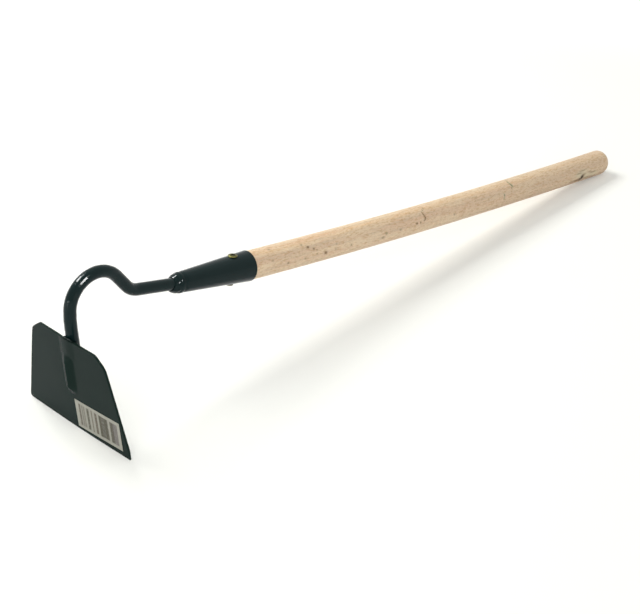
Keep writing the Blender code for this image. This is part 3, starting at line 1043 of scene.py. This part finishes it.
@dataclass
class Joint:
    """The rolled socket, the weld collar on its small end, and its two screws.

    The collar is two beads side by side. Places along it are measured on the socket's axis, from its foot.
    """

    axis_foot: Place = (-0.27965, 0.0, 0.10954)
    slope: float = -9.78
    collar_radius: float = 0.0105
    ripple_lean: float = 0.15
    first_bead: float = -0.006
    second_bead_from: float = -0.005
    second_bead_shift: float = 0.0012
    screw_rounding: float = 0.00012
    screw_rounding_steps: int = 2
    rounded_above: float = 35.0
    sharp_above: float = 50.0
    plating: PlatedFinish = PlatedFinish(
        name="screw_plating",
        colour=(0.145, 0.139, 0.050),
        tint=(0.115, 0.106, 0.032),
        roughness=0.42,
        # Middles of the two screw heads, where painted shade darkens the plating round the recesses
        recesses=(((-0.2080, 0.0, 0.1135), 0.0040), ((-0.2157, 0.0, 0.0818), 0.0034)),
    )

    def around_axis(self, point: Vector) -> float:
        """How far round the collar a point lies, with the second bead's ripples set off from the first's.

        Args:
            point: A point of the collar.

        Returns:
            The distance along the bead.
        """
        slope = math.radians(self.slope)
        axis = Vector((math.cos(slope), 0.0, math.sin(slope)))
        away = point - Vector(self.axis_foot)
        along = away.dot(axis)
        up = axis.cross(Vector((0.0, 1.0, 0.0)))
        turn = math.atan2(away.dot(up), away.y)
        shift = self.second_bead_shift if along > self.second_bead_from else 0.0
        return self.collar_radius * turn + self.ripple_lean * abs(along - self.first_bead) + shift

    def build(self, painted: bpy.types.Material) -> list[bpy.types.Object]:
        """Builds and dresses the joint's pieces.

        Args:
            painted: The paint on the socket and the collar.

        Returns:
            The pieces.
        """
        pieces = [dress("socket", painted)]
        collar = WeldBead(
            "socket_weld", "collar_weld", self.around_axis, pitch=0.0033, ripple=0.00007, voxel=0.0004
        )
        pieces.append(collar.build(painted))
        plated = self.plating.material()
        for node in ("screw_upper", "screw_lower"):
            screw = copy_of(node, f"{node}_head_and_shank")
            round_off = screw.modifiers.new("Rounded edges", "BEVEL")
            round_off.width = self.screw_rounding
            round_off.segments = self.screw_rounding_steps
            round_off.limit_method = "ANGLE"
            round_off.angle_limit = math.radians(self.rounded_above)
            settle(screw)
            pieces.append(stand_in(screw, node, plated))
            screw.data.set_sharp_from_angle(angle=math.radians(self.sharp_above))
        return pieces


@dataclass
class WoodenHandle:
    """The bowed wooden handle with its pin knots."""

    radius: float = 0.01535
    axis: tuple[float, float, float] = (0.065224, -0.142232, 0.050421)
    flaws: tuple[WoodFlaw, ...] = (
        WoodFlaw(0.0752, 71, 0.0009, 0.0016, 0.55),
        WoodFlaw(0.0722, 63, 0.0009, 0.0016, 0.65),
        WoodFlaw(0.0692, 55, 0.0009, 0.0015, 0.70),
        WoodFlaw(0.0694, 46, 0.0009, 0.0015, 0.75),
        WoodFlaw(0.0698, 38, 0.0010, 0.0015, 0.80),
        WoodFlaw(0.0706, 28, 0.0013, 0.0018, 0.85),
        WoodFlaw(0.0692, 21, 0.0012, 0.0015, 0.80),
        WoodFlaw(0.0674, 16, 0.0010, 0.0011, 0.70),
        WoodFlaw(0.0615, 13, 0.0012, 0.0013, 0.80),
        WoodFlaw(0.0553, 13, 0.0017, 0.0014, 1.00),
        WoodFlaw(0.0644, 49, 0.0012, 0.0014, 0.25),
        WoodFlaw(-0.1197, 56, 0.0017, 0.0015, 0.55),
        WoodFlaw(-0.1129, 41, 0.0019, 0.0014, 0.95),
        WoodFlaw(-0.1061, 28, 0.0015, 0.0013, 0.80),
        WoodFlaw(-0.1020, 21, 0.0010, 0.0010, 0.60),
        WoodFlaw(-0.1029, 5, 0.0012, 0.0013, 0.45),
        WoodFlaw(-0.0899, -1, 0.0023, 0.0020, 0.90),
        WoodFlaw(-0.1201, -2, 0.0017, 0.0015, 0.35),
        WoodFlaw(-0.1450, -2, 0.0018, 0.0015, 0.60),
        WoodFlaw(-0.1657, 24, 0.0018, 0.0014, 0.40),
        WoodFlaw(-0.1623, 74, 0.0019, 0.0014, 0.50),
        WoodFlaw(-0.0722, 23, 0.0015, 0.0012, 0.35),
        WoodFlaw(-0.0747, 2, 0.0012, 0.0014, 0.35),
        WoodFlaw(-0.0510, 1, 0.0016, 0.0014, 0.50),
        WoodFlaw(-0.0008, -5, 0.0030, 0.0016, 0.50),
        WoodFlaw(0.0048, 8, 0.0022, 0.0018, 0.40, Stain.GREEN),
        WoodFlaw(0.0277, 7, 0.0020, 0.0014, 0.45),
        WoodFlaw(0.1192, 4, 0.0018, 0.0013, 0.45),
        WoodFlaw(0.1627, 49, 0.0020, 0.0014, 0.30),
        WoodFlaw(0.2298, 88, 0.0012, 0.0022, 0.50),
        WoodFlaw(0.2284, 74, 0.0012, 0.0018, 0.60, Stain.GREEN),
        WoodFlaw(0.2290, 62, 0.0014, 0.0020, 0.80, Stain.GREEN),
        WoodFlaw(0.2298, 53, 0.0016, 0.0020, 0.85, Stain.GREEN),
        WoodFlaw(0.2270, 43, 0.0010, 0.0014, 0.60),
        WoodFlaw(0.2106, 21, 0.0011, 0.0019, 0.75, Stain.GREEN),
        WoodFlaw(0.2091, 8, 0.0012, 0.0018, 0.55, Stain.GREEN),
        WoodFlaw(0.3720, -12, 0.0090, 0.0040, 0.85, Stain.PALE),
        WoodFlaw(0.3575, 3, 0.0090, 0.0046, 0.80, Stain.PALE),
        WoodFlaw(0.3660, 12, 0.0100, 0.0030, 0.65, Stain.PALE),
        WoodFlaw(0.3860, -14, 0.0090, 0.0040, 0.65, Stain.PALE),
        WoodFlaw(0.3560, 10, 0.0060, 0.0011, 0.55),
        WoodFlaw(0.3640, 19, 0.0080, 0.0010, 0.50),
        WoodFlaw(0.3850, -4, 0.0070, 0.0013, 0.55),
        WoodFlaw(0.3780, 3, 0.0050, 0.0012, 0.50),
        WoodFlaw(0.3681, -1, 0.0034, 0.0014, 0.40),
        WoodFlaw(0.3652, -7, 0.0026, 0.0022, 0.60),
        WoodFlaw(0.3630, -15, 0.0032, 0.0042, 1.00, Stain.BARK),
        WoodFlaw(0.3595, -25, 0.0042, 0.0028, 0.95, Stain.BARK),
        WoodFlaw(0.3530, -26, 0.0060, 0.0022, 0.80),
        WoodFlaw(0.3440, -24, 0.0080, 0.0018, 0.50),
        WoodFlaw(0.3720, -26, 0.0080, 0.0016, 0.60),
        WoodFlaw(0.3860, -32, 0.0100, 0.0018, 0.45),
    )

    def build(self) -> list[bpy.types.Object]:
        """Dresses the handle.

        Returns:
            The piece, in a list.
        """
        wood = WoodFinish("sanded_wood", self.radius, self.axis, self.flaws)
        return [dress("handle", wood.material())]


# Studio


@dataclass(frozen=True)
class Lamp:
    """A soft box, placed by the direction that its light comes from. Its radiance is 1 at plain white."""

    name: str
    comes_from: Place
    distance: float
    size: tuple[float, float]
    radiance: float
    in_reflections: bool = True
    on_surfaces: bool = True

    def build(self, aim: Vector) -> bpy.types.Object:
        """Builds the lamp.

        Args:
            aim: The point that it faces.

        Returns:
            The lamp.
        """
        light = bpy.data.lights.new(self.name, "AREA")
        light.shape = "RECTANGLE"
        light.size, light.size_y = self.size
        light.energy = WATTS_AT_WHITE * self.size[0] * self.size[1] * self.radiance
        lamp = bpy.data.objects.new(self.name, light)
        direction = Vector(self.comes_from).normalized()
        lamp.location = aim + direction * self.distance
        lamp.rotation_euler = direction.to_track_quat("Z", "X").to_euler()
        lamp.visible_glossy = self.in_reflections
        lamp.visible_diffuse = self.on_surfaces
        bpy.context.scene.collection.objects.link(lamp)
        return lamp


@dataclass
class Studio:
    """Pale floor, white surroundings, lamps, and the camera at the photograph's angle."""

    eye: Place = (-1.17511, -1.11031, 0.90100)
    gaze: Place = (60.0036, -0.068, -44.478)
    lens: float = 91.966
    aim: Vector = field(default_factory=lambda: Vector((-0.34, 0.0, 0.14)))
    surroundings: float = 0.50
    white: Colour = (1.0, 1.0, 1.0)
    floor_half: float = 8.0
    floor_neutral: Colour = (0.80, 0.80, 0.80)
    floor_warm: Colour = (0.795, 0.800, 0.748)
    floor_lift: Step = Step(0.70, 1.70, before=0.20)
    backdrop_way: Place = (0.62, 0.61, -0.50)
    room: Step = Step(-0.75, 0.10, before=0.35)
    lamps: tuple[Lamp, ...] = (
        Lamp("key_softbox", (0.0, 0.658, 0.753), 2.4, (1.15, 1.15), 8.4, in_reflections=False),
        Lamp("camera_side_fill", (-0.60, -0.62, 0.55), 3.0, (2.4, 2.4), 1.45, in_reflections=False),
        Lamp("far_strip", (-0.18, 0.62, 0.76), 2.2, (0.60, 1.10), 42.0, on_surfaces=False),
        Lamp("near_strip", (-0.07, -0.81, 0.575), 2.2, (0.30, 0.80), 60.0, on_surfaces=False),
        Lamp("low_box", (-0.99, 0.10, 0.08), 2.2, (0.20, 0.50), 30.0, on_surfaces=False),
    )

    def build_floor(self) -> bpy.types.Object:
        """Builds the floor, a wide sheet that stays white for the camera and keeps the shadow.

        Returns:
            The floor.
        """
        half = self.floor_half
        mesh = bpy.data.meshes.new("floor")
        corners = [(-half, -half, 0.0), (half, -half, 0.0), (half, half, 0.0), (-half, half, 0.0)]
        mesh.from_pydata(corners, [], [(0, 1, 2, 3)])
        floor = bpy.data.objects.new("floor", mesh)
        bpy.context.scene.collection.objects.link(floor)
        material = bpy.data.materials.new("floor_white")
        material.use_nodes = True
        graph = Graph(material.node_tree)
        material.node_tree.nodes.remove(material.node_tree.nodes["Principled BSDF"])
        path = graph.node("ShaderNodeLightPath")
        # The shadow is a little warm, and what the paint mirrors of the floor is neutral
        tint = graph.blend(path.outputs["Is Camera Ray"], self.floor_neutral, self.floor_warm)
        diffuse = graph.node("ShaderNodeBsdfDiffuse", {"Color": tint}).outputs[0]
        seen = graph.looked_at(path)
        away = graph.vector("LENGTH", graph.node("ShaderNodeTexCoord").outputs["Object"]).outputs["Value"]
        lift = graph.maths("MULTIPLY", seen, graph.rise(away, self.floor_lift))
        glow = graph.node("ShaderNodeEmission", {"Color": self.white, "Strength": lift}).outputs[0]
        both = graph.node("ShaderNodeAddShader", {0: diffuse, 1: glow}).outputs[0]
        graph.feed(material.node_tree.nodes["Material Output"].inputs["Surface"], both)
        mesh.materials.append(material)
        return floor

    def build_world(self) -> None:
        """Makes the surroundings: white where the camera and reflections look, dimmer as a light."""
        world = bpy.data.worlds.new("studio")
        bpy.context.scene.world = world
        world.use_nodes = True
        graph = Graph(world.node_tree)
        path = graph.node("ShaderNodeLightPath")
        seen = graph.looked_at(path)
        # In reflections the backdrop is white and the room behind the camera is dimmer
        looked = graph.node("ShaderNodeTexCoord").outputs["Generated"]
        ahead = graph.vector("DOT_PRODUCT", looked, self.backdrop_way).outputs["Value"]
        room = graph.rise(ahead, self.room)
        dimmed = graph.maths("MULTIPLY", path.outputs["Is Glossy Ray"], graph.maths("SUBTRACT", 1.0, room))
        white = graph.maths("SUBTRACT", seen, dimmed)
        strength = graph.maths("MULTIPLY_ADD", white, 1.0 - self.surroundings, self.surroundings)
        background = world.node_tree.nodes["Background"]
        graph.feed(background.inputs["Color"], self.white)
        graph.feed(background.inputs["Strength"], strength)

    def build_camera(self) -> None:
        """Places the camera as the photograph was taken."""
        lens = bpy.data.cameras.new("photo_camera")
        lens.lens = self.lens
        lens.sensor_width = SENSOR_WIDTH
        camera = bpy.data.objects.new("photo_camera", lens)
        camera.location = self.eye
        camera.rotation_euler = [math.radians(angle) for angle in self.gaze]
        bpy.context.scene.collection.objects.link(camera)
        bpy.context.scene.camera = camera

    def build(self) -> None:
        """Builds the whole studio."""
        self.build_floor()
        self.build_world()
        self.build_camera()
        for lamp in self.lamps:
            lamp.build(self.aim)
        bpy.context.scene.view_settings.view_transform = "Standard"


def main() -> None:
    """Dresses the hoe from its blade to its butt and sets the studio round it."""
    logging.basicConfig(level=logging.INFO, format="%(name)s: %(message)s")
    gloss = PaintFinish(
        name="gloss_green_black",
        colour=(0.0050, 0.0160, 0.0160),
        thin_colour=(0.0060, 0.0175, 0.0175),
        roughness=0.11,
        specular=0.14,
        peel_scale=520.0,
        peel_depth=0.000006,
        wear=0.1,
    ).material()
    Studio().build()
    pieces = BladeHead().build()
    pieces.append(dress("gooseneck", gloss))
    pieces += Joint().build(gloss)
    pieces += WoodenHandle().build()
    LOG.info("pieces shown: %s", ", ".join(sorted(piece.name for piece in pieces)))


if __name__ == "__main__":
    main()
